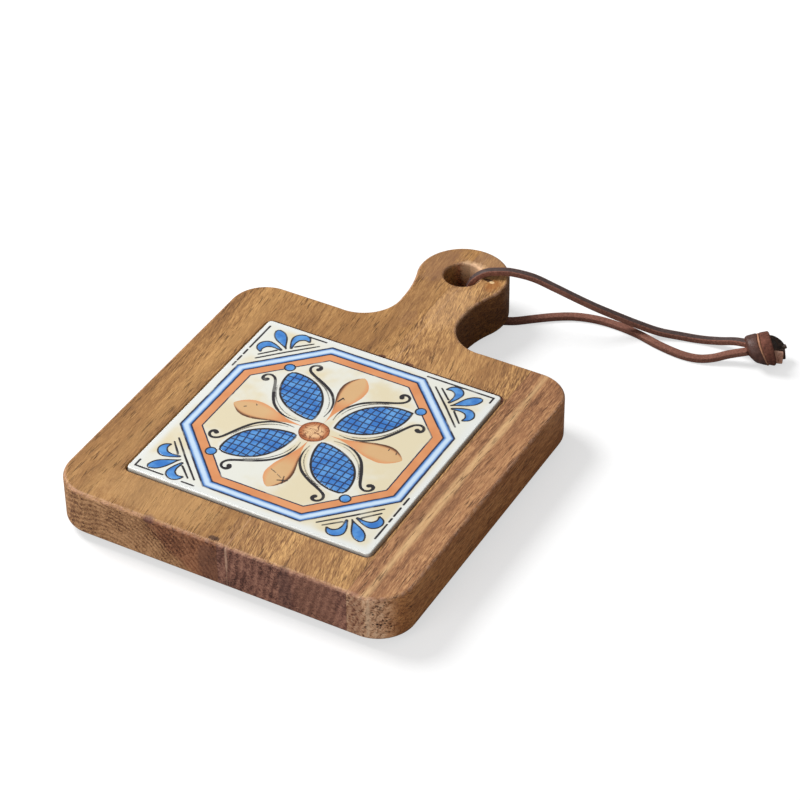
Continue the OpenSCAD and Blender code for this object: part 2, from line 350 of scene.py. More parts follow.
def wood(name, face, end, lean, cross_lean, joints, marks_and_highlights, painted_right_face_shading=(1, 1, 1)):
    """Oiled acacia: planed faces with fibres and pores, and sawn ends. Faces that look to the right carry
    painted shading, and the eased edges wear and a painted highlight.
    """
    n = WoodNodes(name, lean, cross_lean)
    colour, tone, pore = planed_face(n, **face)
    end_colour, pit = end_grain(n, **end)
    on_end = n.step(n.summed(n.math("ABSOLUTE", n.normal[1]), n.centred(n.thread, 0.3)), 0.45, 0.85)
    colour = n.mix(on_end, colour, end_colour)
    # Faces that look to the right are tinted: painted shade on the centre stave, painted light on the right
    # stave
    colour = n.mix(n.step(n.normal[0], 0.45, 0.97), colour, painted_right_face_shading, "MULTIPLY")
    colour = marked_and_highlit(n, glue_lines(n, worn_and_highlit_edges(n, colour), joints), marks_and_highlights)
    n.surface(Base_Color=colour, Roughness=n.step(tone, 0.1, 0.9, 0.50, 0.68), Specular_IOR_Level=0.30)
    height = n.summed(n.times(n.fibre, 0.5), n.times(n.thread, 0.5), n.times(pore, -0.7),
                      n.times(n.times(pit, on_end), -1.2))
    n.bump(height, GRAIN_RELIEF, 0.9)
    return n.material


LEFT_JOINT, RIGHT_JOINT = (round(corner.x, 4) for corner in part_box("centre_stave"))
# The front face's pale line, which the photograph shows to the right of the joint
PALE_LINE = 0.0037

# Streaks along the board: place across it, half width, colour and strength. Marks and painted highlights:
# place, reach, colour and strength. Both are in millimetres, and colours here are the levels that rgb takes.
LEFT_STREAKS = [
    (-37, 4, (120, 80, 44), 0.35),
    (-56, 4, (190, 146, 90), 0.35),
    (-8, 3, (122, 82, 48), 0.3),
]
LEFT_MARKS_AND_HIGHLIGHTS = [
    # Dark spots at the front edge, behind the tile, and on the neck
    ((-2.2, -97.7, 21.7), (3.2, 1.3, 1.8), (62, 36, 28), 0.8),
    ((-1.3, 20.8, 22.1), (2.2, 1.3, 1.4), (84, 44, 34), 0.9),
    ((-28, -99, 21), (3, 2.2, 1.8), (104, 66, 62), 0.75),
    ((-8.2, 74.2, 22.1), (1.1, 2.2, 1.2), (84, 50, 36), 0.6),
    # Shades of the handle, from the neck to the round end
    ((-4, 46.1, 22.1), (4, 7, 1.2), (118, 76, 56), 0.28),
    ((-7, 62, 22.1), (7, 24, 3), (134, 94, 62), 0.25),
    ((-10, 84, 22.1), (8, 15, 3), (146, 106, 76), 0.50),
    # The hole's far wall, pale wood with a painted highlight, and patches at the front
    ((-0.8, 88.5, 17.5), (3.8, 3.6, 8), (206, 168, 130), 0.80),
    ((-30, -89, 22.1), (30, 12, 4), (196, 152, 98), 0.40),
    ((-3, -100.5, 11), (6.5, 4, 13), (106, 70, 58), 0.50),
]
CENTRE_STREAKS = [
    (13, 5, (146, 102, 60), 0.3),
    (36, 5, (148, 102, 60), 0.3),
]
CENTRE_MARKS_AND_HIGHLIGHTS = [
    # A dark spot behind the tile
    ((9.8, 21, 22.1), (2.4, 1.4, 1.4), (84, 44, 34), 0.9),
    # Shades of the handle, and the hole's far wall: pale wood with a painted highlight
    ((7, 60, 22.1), (10, 18, 3), (210, 166, 120), 0.30),
    ((6, 94.5, 22.1), (13, 6.5, 3), (152, 114, 82), 0.55),
    ((2.6, 88.5, 16.5), (6.2, 4, 10), (224, 182, 142), 0.90),
    # The resin scar by the hole: its glow, its dark line and its bright drop
    ((14.2, 80.5, 22.2), (3.4, 5, 1.6), (160, 100, 46), 0.7),
    ((11.2, 82.8, 22.2), (2.6, 1.2, 1.4), (58, 32, 18), 0.95),
    ((13, 82.2, 22.2), (1.2, 1.1, 1.4), (236, 202, 150), 0.9),
    # Bands across the front face
    ((27.5, -100.5, 11), (3.4, 4, 20), (84, 58, 54), 0.45),
    ((40, -100.5, 11), (11, 4, 20), (148, 102, 80), 0.35),
    ((3.8, -100.8, 16.5), (0.7, 3, 8), (214, 172, 146), 0.60),
]
RIGHT_STREAKS = [
    (58.5, 2.4, (224, 184, 132), 0.75),
    (55.5, 1.8, (104, 68, 44), 0.45),
    (62.5, 1.6, (110, 72, 48), 0.35),
]
RIGHT_FLAWS = [
    # Bands across the front face
    ((55, -100.5, 11), (4.2, 4, 20), (136, 84, 64), 0.45),
    ((60.2, -100.8, 13), (1.1, 4, 13), (226, 190, 156), 0.60),
]
WOODS = {
    "left_stave": wood(
        "wood_left", lean=0.05, cross_lean=0.14, marks_and_highlights=LEFT_MARKS_AND_HIGHLIGHTS, joints=[(LEFT_JOINT, SEAM, 0.22)],
        face=dict(colours=((202, 154, 96), (158, 113, 65), (96, 61, 33)), crisp=1.3, figure=0.25,
                  streaks=LEFT_STREAKS),
        end=dict(colours=((214, 164, 118), (178, 129, 88), (112, 72, 48)), heart=(-0.050, -0.022),
                 arc_pitch=0.0018, lean=-0.2, red_from=-0.013, red=rgb(218, 196, 198))),
    "centre_stave": wood(
        # Its faces that look to the right are darkened: painted shade
        "wood_centre", lean=0.12, cross_lean=0.24, marks_and_highlights=CENTRE_MARKS_AND_HIGHLIGHTS, painted_right_face_shading=(0.50, 0.35, 0.19),
        joints=[(LEFT_JOINT, SEAM, 0.22), (RIGHT_JOINT, SEAM, 0.25), (PALE_LINE, PALE_GLUE, 0.25)],
        face=dict(colours=((214, 166, 106), (164, 119, 73), (102, 66, 40)), crisp=2.4, figure=0.4,
                  streaks=CENTRE_STREAKS),
        end=dict(colours=((182, 130, 108), (140, 94, 78), (88, 54, 46)), heart=(0.140, -0.020),
                 arc_pitch=0.0030, lean=-0.25)),
    "right_stave": wood(
        # Its faces that look to the right are lightened and reddened: painted light
        "wood_right", lean=0.0, cross_lean=0.05, marks_and_highlights=RIGHT_FLAWS, painted_right_face_shading=(1.34, 1.10, 0.84),
        joints=[(RIGHT_JOINT, SEAM, 0.25)],
        face=dict(colours=((208, 158, 110), (160, 111, 74), (92, 57, 36)), crisp=1.6, figure=0.25,
                  streaks=RIGHT_STREAKS),
        end=dict(colours=((244, 202, 164), (214, 162, 124), (104, 64, 44)), heart=(0.090, 0.000),
                 arc_pitch=0.0022, lean=0.35, pits=760, pit_size=0.46)),
}

# Plain materials of one noise


def speckled(name, scale, colours, relief=0, strength=0, **surface):
    n = Nodes(name)
    speck = n.noise(scale, 3)
    n.surface(Base_Color=n.mix(speck, *(rgb(*colour) for colour in colours)), **surface)
    if relief:
        n.bump(speck, relief, strength)
    return n.material


BISCUIT = speckled("biscuit", 1600, ((214, 196, 170), (186, 160, 130)), 0.0001, 0.7, Roughness=0.9)
BARE_GLAZE = speckled("bare_glaze", 300, ((232, 232, 224), (214, 214, 202)), Roughness=0.25,
                      Coat_Weight=0.3)
ADHESIVE = speckled("adhesive", 300, ((150, 146, 136), (196, 192, 180)), 0.0002, 0.6, Roughness=0.75)
RUBBER = speckled("foot_rubber", 2200, ((38, 36, 35), (58, 55, 52)), 0.00008, 0.6, Roughness=0.78,
                  Specular_IOR_Level=0.3)

# The leather

FINE_MOTTLE = 4.5
WORN_SCALE = 130
WORN_SHARE = 0.35


def leather(name, light, base, deep, grain, roughness, relief):
    """One side of the lace: grain is the cells of its mottling for each metre, relief its depth."""
    n = Nodes("leather_" + name)
    mottle = n.noise(grain, 4, 0.6)
    fine = n.noise(grain * FINE_MOTTLE, 3, 0.65)
    worn = n.noise(WORN_SCALE, 2)
    colour = n.ramp(n.summed(n.times(mottle, 0.6), n.times(fine, 0.4)),
                    [(0.30, rgb(*deep)), (0.50, rgb(*base)), (0.72, rgb(*light))])
    colour = n.mix(n.step(worn, 0.5, 0.75, 0, WORN_SHARE), colour, rgb(*light))
    n.surface(Base_Color=colour, Roughness=n.step(fine, 0.3, 0.7, roughness - 0.06, roughness + 0.08),
              Specular_IOR_Level=0.35)
    n.bump(n.summed(mottle, n.times(fine, 0.6)), relief, 0.9)
    return n.material


LACE_LEATHERS = [
    leather("grain", (104, 82, 76), (74, 57, 54), (46, 34, 33), 900, 0.46, 0.00010),
    leather("suede", (164, 114, 96), (130, 84, 69), (80, 48, 40), 1500, 0.85, 0.00022),
]
KNOT_LEATHERS = [
    leather("grain_knot", (110, 74, 64), (80, 50, 42), (46, 26, 21), 700, 0.46, 0.00014),
    leather("suede_knot", (146, 92, 74), (98, 55, 42), (48, 23, 18), 850, 0.85, 0.00026),
    # The grain leather darkened as painted shade, for the knot's far end
    leather("grain_painted_shade", (90, 64, 46), (50, 32, 22), (20, 12, 8), 700, 0.50, 0.00016),
    leather("cut", (206, 156, 124), (172, 120, 92), (116, 70, 52), 1100, 0.85, 0.00025),
    leather("cut_end", (250, 204, 180), (212, 154, 128), (98, 46, 36), 480, 0.85, 0.00040),
]
# Places in these lists, of which the lace's holds the first two
# The third is the grain leather darkened as painted shade
GRAIN, SUEDE, GRAIN_PAINTED_SHADE, CUT, CUT_END = range(5)

# The lace, in millimetres

UPPER_ROUTE = [
    (3.2, 81.4, 12.5), (3.2, 81.4, 15.0), (3.6, 81.6, 18.0), (4.9, 82.3, 20.6),
    (7.0, 83.4, 22.7), (9.6, 84.9, 24.0), (12.7, 86.5, 24.4), (18.0, 88.9, 24.4),
    (26.5, 91.2, 23.2), (35.0, 92.8, 20.4), (43.0, 95.1, 16.8), (50.5, 98.4, 12.6),
    (58.0, 102.3, 8.4), (65.5, 105.5, 5.0), (73.5, 108.2, 2.5), (81.5, 111.0, 1.4),
    (89.5, 112.9, 1.3), (97.0, 113.9, 2.6), (103.5, 113.6, 5.0), (109.8, 112.0, 7.2),
]
LOWER_ROUTE = [
    (3.2, 81.4, 12.5), (3.2, 81.4, 10.0), (3.5, 81.6, 7.0), (4.6, 82.1, 4.3),
    (6.8, 83.2, 2.1), (10.6, 84.9, 1.2), (15.4, 86.8, 1.2), (20.2, 89.3, 1.2),
    (26.0, 94.0, 1.2), (32.5, 99.0, 1.2), (39.5, 103.0, 1.2), (48.0, 105.3, 1.2),
    (57.0, 105.6, 1.2), (66.5, 104.4, 1.2), (76.5, 101.8, 1.2), (86.0, 100.4, 1.2),
    (93.0, 101.0, 1.3), (98.5, 103.2, 2.0), (104.0, 106.5, 3.6), (110.6, 109.3, 5.6),
]
LACE_WIDTH = 3.2
LACE_THICKNESS = 2.2
LACE_BEVEL = 0.45
# Points of a smoothed route for each stretch between two of its own
STEPS = 8
# Stretches ahead that a run's level width is turned by
STRETCHES_AHEAD = 3
# Points of each rounded edge of a strip's section, and the angle between them
EDGE_POINTS = 4
EDGE_STEP = 30


def smoothed(points, steps=STEPS):
    """Points on a smooth curve through the given ones, steps for each stretch."""
    p = np.array(points, float)
    last = len(p) - 1
    out = []
    for i in range(last):
        a, b, c, d = p[max(i - 1, 0)], p[i], p[i + 1], p[min(i + 2, last)]
        for k in range(steps):
            t = k / steps
            out.append((2 * b + (c - a) * t + (2 * a - 5 * b + 4 * c - d) * t * t
                        + (3 * b - a - 3 * c + d) * t ** 3) / 2)
    out.append(p[last])
    return np.array(out)


def unit(v):
    return v / np.linalg.norm(v)


def strip_section(width, thickness, bevel):
    """A flat strip's section, with rounded edges: x along its width, y out of its upper side."""
    x, y = width / 2 - bevel, thickness / 2 - bevel
    points = []
    for cx, cy, start in ((x, y, 0), (-x, y, 90), (-x, -y, 180), (x, -y, 270)):
        for k in range(EDGE_POINTS):
            a = math.radians(start + EDGE_STEP * k)
            points.append((cx + bevel * math.cos(a), cy + bevel * math.sin(a)))
    return points


def strip_mesh(path, widths, section):
    """A strip swept along path, with its width along widths. Its cut ends are the last two faces."""
    points, faces = [], []
    count, last = len(section), len(path) - 1
    for i, p in enumerate(path):
        ahead = unit(path[min(i + 1, last)] - path[max(i - 1, 0)])
        out = unit(np.cross(ahead, widths[i]))
        wide = np.cross(out, ahead)
        points += [p + wide * x + out * y for x, y in section]
    for i in range(last):
        for k in range(count):
            a, b = i * count + k, i * count + (k + 1) % count
            faces.append((a, b, b + count, a + count))
    faces.append(tuple(range(count - 1, -1, -1)))
    faces.append(tuple(last * count + k for k in range(count)))
    return points, faces


def new_piece(name, points, faces, materials, face_slots):
    mesh = bpy.data.meshes.new(name)
    mesh.from_pydata([metres(p) for p in points], [], faces)
    for material in materials:
        mesh.materials.append(material)
    mesh.polygons.foreach_set("material_index", np.array(face_slots, np.int32))
    mesh.polygons.foreach_set("use_smooth", np.full(len(faces), True))
    mesh.update()
    obj = new_object(name, mesh)
    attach(obj, BODY)
    return obj


def lace_run(node, route, grain_side):
    """One run of the lace, with its grain on the upper side for 1 and on the lower for -1, and its path."""
    path = smoothed(route)
    ahead = STRETCHES_AHEAD * STEPS
    widths = []
    for i in range(len(path)):
        a = min(i, len(path) - 1 - ahead)
        d = path[a + ahead] - path[a]
        widths.append(unit(np.array([-d[1], d[0], 0])))
    section = strip_section(LACE_WIDTH, LACE_THICKNESS, LACE_BEVEL)
    points, faces = strip_mesh(path, widths, section)
    around = []
    for (_, y), (_, next_y) in zip(section, section[1:] + section[:1]):
        flat = math.isclose(y, next_y, abs_tol=1e-6)
        around.append(GRAIN if flat and y * grain_side > 0 else SUEDE)
    slots = around * (len(path) - 1) + [SUEDE, SUEDE]
    obj = new_piece(node + "_leather", points, faces, LACE_LEATHERS, slots)
    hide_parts(node)
    return obj, path


upper, upper_path = lace_run("lace_upper_run", UPPER_ROUTE, 1)
lower, lower_path = lace_run("lace_lower_run", LOWER_ROUTE, -1)

# The knot, in its own frame: x on along the lace, y away from the camera's side, z up

KNOT_AT = np.array([113.5, 112.0, 6.5])
KNOT_HEADING = math.radians(29)
# How far a step goes up the picture
RISE = np.array([0.0, 0.606, 0.795])
# Bands round the knot: course is x at the middle, and its slope and curve with the height in the
# picture, and fall is how steeply the band drops to its left
BANDS = [
    dict(centre=(0, -0.5, -0.3), radii=(5.3, 4.5), course=(-2.24, -0.354, 0.062), width=4.4, fall=0.28,
         leather=GRAIN),
    dict(centre=(0, -0.8, -0.1), radii=(5.7, 4.9), course=(0.40, -0.312, 0.046), width=1.2, fall=0.0,
         leather=CUT),
    dict(centre=(0, -0.8, 0.45), radii=(6.1, 5.10), course=(2.90, -0.222, 0.015), width=4.2, fall=0.18,
         leather=SUEDE),
]
BAND_RINGS = 72
BAND_BEVEL = 0.75
BAND_CROWN = 0.10
# Lumps along a band: count, and share of its radius and of its width
RADIUS_LUMPS = (3, 0.012)
WIDTH_LUMPS = (2, 0.06)
# A band's faces whose two corners reach this height together are its outer side
OUTER_SIDE = 0.6
# Strands that end or turn at the knot's far end, with the direction of their width
# A strand takes the darkened grain leather, painted shade, unless given another
STRANDS = [
    dict(route=[(2.0, 1.0, 1.4), (4.6, 1.3, 1.9), (6.4, 1.2, 1.1), (7.9, 1.0, -0.1), (9.0, 0.8, -1.5)],
         wide=(0.20, 0.84, 0.50), width=5.2, thickness=2.0),
    dict(route=[(3.0, -2.6, -0.6), (5.2, -3.4, -1.2), (7.3, -3.5, -1.9), (9.1, -3.1, -2.4)],
         wide=(0.22, 0.55, 0.81), width=4.8, thickness=2.2, leather=CUT_END, cut=CUT_END, bevel=0.8),
    dict(route=[(3.5, 0.2, -3.0), (6.0, -0.3, -2.9), (8.2, -0.9, -2.4), (10.5, -1.4, -1.9)],
         wide=(-0.12, 0.45, 0.88), width=4.0, thickness=2.0),
    dict(route=[(7.0, 0.8, -0.9), (9.0, 0.9, -0.7), (10.2, 1.0, -0.4), (11.0, 1.0, 0.1)],
         wide=(0.0, 0.8, 0.6), width=1.7, thickness=1.1),
]
# The core: its ends along x, its radii, how far it sits below, how full its ends are, and its lumps
CORE_FROM = -4.5
CORE_TO = 7.6
CORE_RADII = (4.2, 3.8)
CORE_DROP = 0.2
CORE_FULLNESS = 0.6
CORE_LUMPS = (3, 0.04)
CORE_RINGS = 14
CORE_AROUND = 28
# Where along it the core turns dark: the darkened grain leather, painted shade at the knot's far end
PAINTED_SHADE_CORE_FROM = 4


def band_mesh(number, centre, radii, course, width, fall, leather):
    """A closed band round the knot: points, faces and the leather of each face."""
    section = strip_section(width, LACE_THICKNESS, BAND_BEVEL)
    middle, slope, curve = course
    ring, outward = [], []
    for i in range(BAND_RINGS):
        th = 2 * math.pi * i / BAND_RINGS
        swell = 1 + RADIUS_LUMPS[1] * math.sin(RADIUS_LUMPS[0] * th + number)
        q = np.array(centre) + np.array([0, radii[0] * swell * math.cos(th), radii[1] * swell * math.sin(th)])
        height = float(RISE @ q)
        q[0] = middle + slope * height + curve * height ** 2
        ring.append(q)
        outward.append(np.array([0, math.cos(th) / radii[0], math.sin(th) / radii[1]]))
    points, faces, slots = [], [], []
    m = len(section)
    for i in range(BAND_RINGS):
        after = (i + 1) % BAND_RINGS
        ahead = unit(ring[after] - ring[i - 1])
        wide = unit(np.cross(ahead, outward[i]))
        out = np.cross(wide, ahead)
        broad = 1 + WIDTH_LUMPS[1] * math.sin(WIDTH_LUMPS[0] * 2 * math.pi * i / BAND_RINGS + number)
        points += [ring[i] + wide * x * broad + out * (y - BAND_CROWN * abs(x) - fall * x)
                   for x, y in section]
        for k in range(m):
            beside = (k + 1) % m
            faces.append((i * m + k, after * m + k, after * m + beside, i * m + beside))
            slots.append(leather if section[k][1] + section[beside][1] > OUTER_SIDE else SUEDE)
    return points, faces, slots


# By default a strand takes the darkened grain leather: painted shade
def strand_mesh(route, wide, width, thickness, leather=GRAIN_PAINTED_SHADE, cut=SUEDE, bevel=0.4):
    """A strand with two cut ends: points, faces and the leather of each face."""
    path = smoothed(route)
    widths = [unit(np.array(wide))] * len(path)
    points, faces = strip_mesh(path, widths, strip_section(width, thickness, bevel))
    return points, faces, [leather] * (len(faces) - 2) + [cut, cut]


def core_mesh():
    """The lumpy core that fills the knot: points, faces and the leather of each face."""
    middle, half = (CORE_FROM + CORE_TO) / 2, (CORE_TO - CORE_FROM) / 2
    points, faces = [], []
    for i in range(CORE_RINGS):
        a = math.pi * (i + 0.5) / CORE_RINGS
        for k in range(CORE_AROUND):
            b = 2 * math.pi * k / CORE_AROUND
            full = math.sin(a) ** CORE_FULLNESS * (1 + CORE_LUMPS[1] * math.sin(CORE_LUMPS[0] * b + 2 * a))
            points.append(np.array([middle - half * math.cos(a), CORE_RADII[0] * math.cos(b) * full,
                                    CORE_RADII[1] * math.sin(b) * full - CORE_DROP]))
    for start in range(0, (CORE_RINGS - 1) * CORE_AROUND, CORE_AROUND):
        for k in range(CORE_AROUND):
            a, b = start + k, start + (k + 1) % CORE_AROUND
            faces.append((a, a + CORE_AROUND, b + CORE_AROUND, b))
    faces.append(tuple(range(CORE_AROUND)))
    faces.append(tuple((CORE_RINGS - 1) * CORE_AROUND + k for k in reversed(range(CORE_AROUND))))
    # Past that point the core takes the darkened grain leather: painted shade
    slots = [GRAIN_PAINTED_SHADE if np.mean([points[i][0] for i in face]) > PAINTED_SHADE_CORE_FROM else SUEDE for face in faces]
    return points, faces, slots


def knot_mesh():
    turn = np.array([[math.cos(KNOT_HEADING), -math.sin(KNOT_HEADING), 0],
                     [math.sin(KNOT_HEADING), math.cos(KNOT_HEADING), 0], [0, 0, 1]])
    parts = [band_mesh(number, **band) for number, band in enumerate(BANDS)]
    parts += [strand_mesh(**strand) for strand in STRANDS]
    parts.append(core_mesh())
    points, faces, slots = [], [], []
    for part_points, part_faces, part_slots in parts:
        base = len(points)
        points += [KNOT_AT + turn @ q for q in part_points]
        faces += [tuple(base + i for i in face) for face in part_faces]
        slots += part_slots
    return points, faces, slots


knot_points, knot_faces, knot_slots = knot_mesh()
knot = new_piece("lace_knot_leather", knot_points, knot_faces, KNOT_LEATHERS, knot_slots)
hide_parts("lace_knot")

# The tile, in millimetres, in the place of its solid

(TILE_LEFT, TILE_FRONT, TILE_BOTTOM), (TILE_RIGHT, TILE_BACK, TILE_TOP) = (
    [round(c / MM, 1) for c in corner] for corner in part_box("tile"))
TILE_HALF = (TILE_RIGHT - TILE_LEFT) / 2
TILE_Y = (TILE_FRONT + TILE_BACK) / 2
TILE_EASE = 0.5
TILE_CORNER = 1.6
# Angles from the top, in degrees, at which the eased edge has its lines
EASE_ANGLES = (0, 12, 24, 36, 48, 60, 75)
# Distance between the top's grid lines, which the painted fields are held on
GLAZE_PITCH = 0.4
# Height down to which the glaze runs on the tile's sides
GLAZE_ENDS = 20.6
KEY_WIDTH = 4.0
KEY_DEPTH = 0.8
KEY_LENGTH = 92.0
KEY_PITCH = 9.0
KEYS = 10
ROOT2 = math.sqrt(2)


def distance_to(points, route, widths):
    """Signed distance of points from a painted stroke along route: below zero inside it."""
    route, widths = np.array(route, float), np.array(widths, float)
    best = np.full(len(points), 1e9)
    for i in range(len(route) - 1):
        a, d = route[i], route[i + 1] - route[i]
        t = np.clip(((points - a) @ d) / (d @ d), 0, 1)
        half = widths[i] + (widths[i + 1] - widths[i]) * t
        best = np.minimum(best, np.linalg.norm(points - a - t[:, None] * d, axis=1) - half)
    return best


def widened(route, widths, steps=4):
    """The same stroke with points on a smooth curve."""
    rows = smoothed([(*p, w) for p, w in zip(route, widths)], steps)
    return rows[:, :2], rows[:, 2]


def bulge(along, start, end, fullest, half_width, blunt_start, blunt_end):
    """Half width of a leaf from start to end, fullest at the share given."""
    s = np.clip((along - start) / (end - start), 0, 1)
    left = np.clip(s / fullest, 0, 1)
    right = np.clip((1 - s) / (1 - fullest), 0, 1)
    rise = np.sin(left * math.pi / 2) ** blunt_start
    fall = np.sin(right * math.pi / 2) ** blunt_end
    return half_width * np.where(s < fullest, rise, fall)


def leaf_distance(along, across, start, end, **form):
    """Signed distance from a leaf of the form that bulge gives."""
    e = 0.05
    slope = (bulge(along + e, start, end, **form) - bulge(along - e, start, end, **form)) / (2 * e)
    side = (np.abs(across) - bulge(along, start, end, **form)) / np.sqrt(1 + np.minimum(slope ** 2, 6))
    before = np.hypot(np.minimum(along - start, 0), across)
    after = np.hypot(np.maximum(along - end, 0), across)
    return np.where(along < start, before, np.where(along > end, after, side))


def lens_distance(along, across, start, end, half_width):
    """Signed distance from a leaf between two equal arcs."""
    middle, half = (start + end) / 2, (end - start) / 2
    radius = (half ** 2 + half_width ** 2) / (2 * half_width)
    return np.hypot(along - middle, np.abs(across) + radius - half_width) - radius


# The painted pattern, from the tile's middle. A figure repeats at each side or corner. Strokes are
# routes along a diagonal and aside of it, with half widths.

# The octagon's outer edge: half its width across the straight sides, and across the cut corners
BORDER_HALF = 46
BORDER_CORNER = 46.67
LEAF_END = 36.2
LEAF_HALF_WIDTH = 7.6
LEAF = dict(end=LEAF_END, fullest=0.54, half_width=LEAF_HALF_WIDTH, blunt_start=0.72, blunt_end=0.66)
LEAF_START = 6.9
FRONT_LEFT_LEAF_START = 7.8
BACK_RIGHT_LEAF = dict(start=6.7, end=LEAF_END, half_width=LEAF_HALF_WIDTH)
DROP = dict(start=0.0, end=35.4, fullest=0.775, half_width=5.1, blunt_start=3.9, blunt_end=0.72)
SPEAR = dict(start=51.0, end=63.3, fullest=0.68, half_width=2.2, blunt_start=1.5, blunt_end=0.55)
HUB_AT = (-0.74, -0.73)
HUB_RADIUS = 5.8
DOT_AT = 27.9
DOT_RADIUS = 2.0
LATTICE_PITCH = 2.75
LATTICE_BEND = 0.018
TENDRIL = widened(
    [(7.3, 4.6), (10, 7.5), (13.4, 9.7), (17, 10.7), (20.5, 10.9), (24, 10.3), (27.6, 9.2), (30.5, 8.1),
     (33.2, 7.2), (35.3, 6.9), (37.0, 7.5), (37.8, 8.9), (37.5, 10.4), (36.4, 11.2), (35.3, 10.8),
     (35.1, 9.9)],
    [0.16, 0.28, 0.42, 0.50, 0.55, 0.58, 0.60, 0.60, 0.58, 0.56, 0.54, 0.54, 0.58, 0.68, 0.85, 0.95])
CONTOUR = widened([(9.4, 5.4), (12, 7.4), (15.5, 8.9), (19.5, 9.5), (23.5, 9.3), (27.5, 8.2), (30.5, 6.8)],
                  [0.08, 0.16, 0.18, 0.18, 0.18, 0.16, 0.08])
HORN = widened([(51.0, 2.0), (52.6, 2.8), (54.5, 4.0), (56.1, 5.9), (55.9, 8.0), (54.6, 9.3), (52.6, 9.6)],
               [0.35, 0.6, 1.05, 1.65, 1.65, 1.1, 0.25])
# The two lines under each corner's flower
CORNER_LINES = (
    ([(49.1, 0), (48.9, 12.4)], [0.42, 0.34]),
    ([(51.2, 3.6), (50.9, 10.8)], [0.42, 0.34]),
)
# How far each corner's flower lies aside of its diagonal
FLOWER_ASIDE = {"front_left": 1.8, "back_left": 1.4, "back_right": 0.4, "front_right": 0.6}
# Short cracks in the drops, at their own places on the tile: two ends and half width
CRACKS = [
    ((-3.8, -26.1), (-1.1, -27.2), 0.20), ((-0.1, -27.7), (1.9, -28.8), 0.20),
    ((1.4, -30.6), (5.0, -29.2), 0.24), ((2.6, -27.6), (3.9, -31.4), 0.24),
    ((31.5, 3.0), (31.9, 1.9), 0.22), ((28.2, 3.7), (28.4, 2.7), 0.20),
    ((-1.9, 18.6), (-1.2, 21.4), 0.30), ((-1.2, 21.4), (-0.2, 20.6), 0.20),
    ((-30.9, -0.2), (-30.2, 0.4), 0.22), ((-27.5, 3.2), (-27.0, 2.6), 0.22),
]
# Broken dark lines by the tile's left, back, right and front edge: the axis that they cross, 0 for x and
# 1 for y, where they cross it, and the ends of each
DASHES = (
    (0, -47.7, ((19, 21.5), (22.5, 25.5), (27, 30), (31.5, 46.5), (-47.6, -44))),
    (1, 47.7, ((-31, -23.5), (20, 47.5))),
    (0, 47.7, ((44.5, 47.8), (-21, -17), (-28, -23), (-31.5, -29.5), (-41.5, -33))),
    (1, -47.5, ((-47.6, -36), (-28, -23))),
)
DASH_HALF_WIDTH = 0.39
# Half widths of the dark outlines
LEAF_OUTLINE = 0.42
FIGURE_OUTLINE = 0.30


def leaf_field(x, y, s, t):
    """The leaves on the diagonals. The back right one is a plain lens, and the others are blunter."""
    start = np.where((x < 0) & (y < 0), FRONT_LEFT_LEAF_START, LEAF_START)
    blunt, plain = leaf_distance(s, t, start, **LEAF), lens_distance(s, t, **BACK_RIGHT_LEAF)
    return np.where((x > 0) & (y > 0), plain, blunt)


def corner_fields(x, y, s, t):
    """The flowers in the corners, and the two lines under each of them."""
    left = np.where(y < 0, FLOWER_ASIDE["front_left"], FLOWER_ASIDE["back_left"])
    right = np.where(y < 0, FLOWER_ASIDE["front_right"], FLOWER_ASIDE["back_right"])
    aside = t - np.where(x < 0, left, right)
    mirrored = np.column_stack((s, np.abs(aside)))
    flower = np.minimum(leaf_distance(s, aside, **SPEAR), distance_to(mirrored, *HORN))
    lines = np.minimum.reduce([distance_to(mirrored, *line) for line in CORNER_LINES])
    return flower, np.maximum(lines, -flower)


def drop_shades(x, y, disc, drop):
    """How far the drops on the square axes are tan in their middle, and brown along one side."""
    u, v = np.abs(x), np.abs(y)
    along = np.maximum(u, v)
    hold = bulge(along, **DROP)
    side = np.where(u > v, y * np.sign(x), -x * np.sign(y))
    across = np.where(hold > 0.3, side / np.maximum(hold, 0.3), 0)
    tan = np.clip((along - 14) / 8, 0, 1) * np.clip((1.0 - np.abs(across)) / 0.45, 0, 1) * (disc > 0)
    brown = np.clip((across - 0.70) / 0.16, 0, 1) * (drop < 0.5)
    brown = brown * np.clip((along - 13) / 5, 0, 1) * np.clip((36 - along) / 3, 0, 1)
    return tan, brown


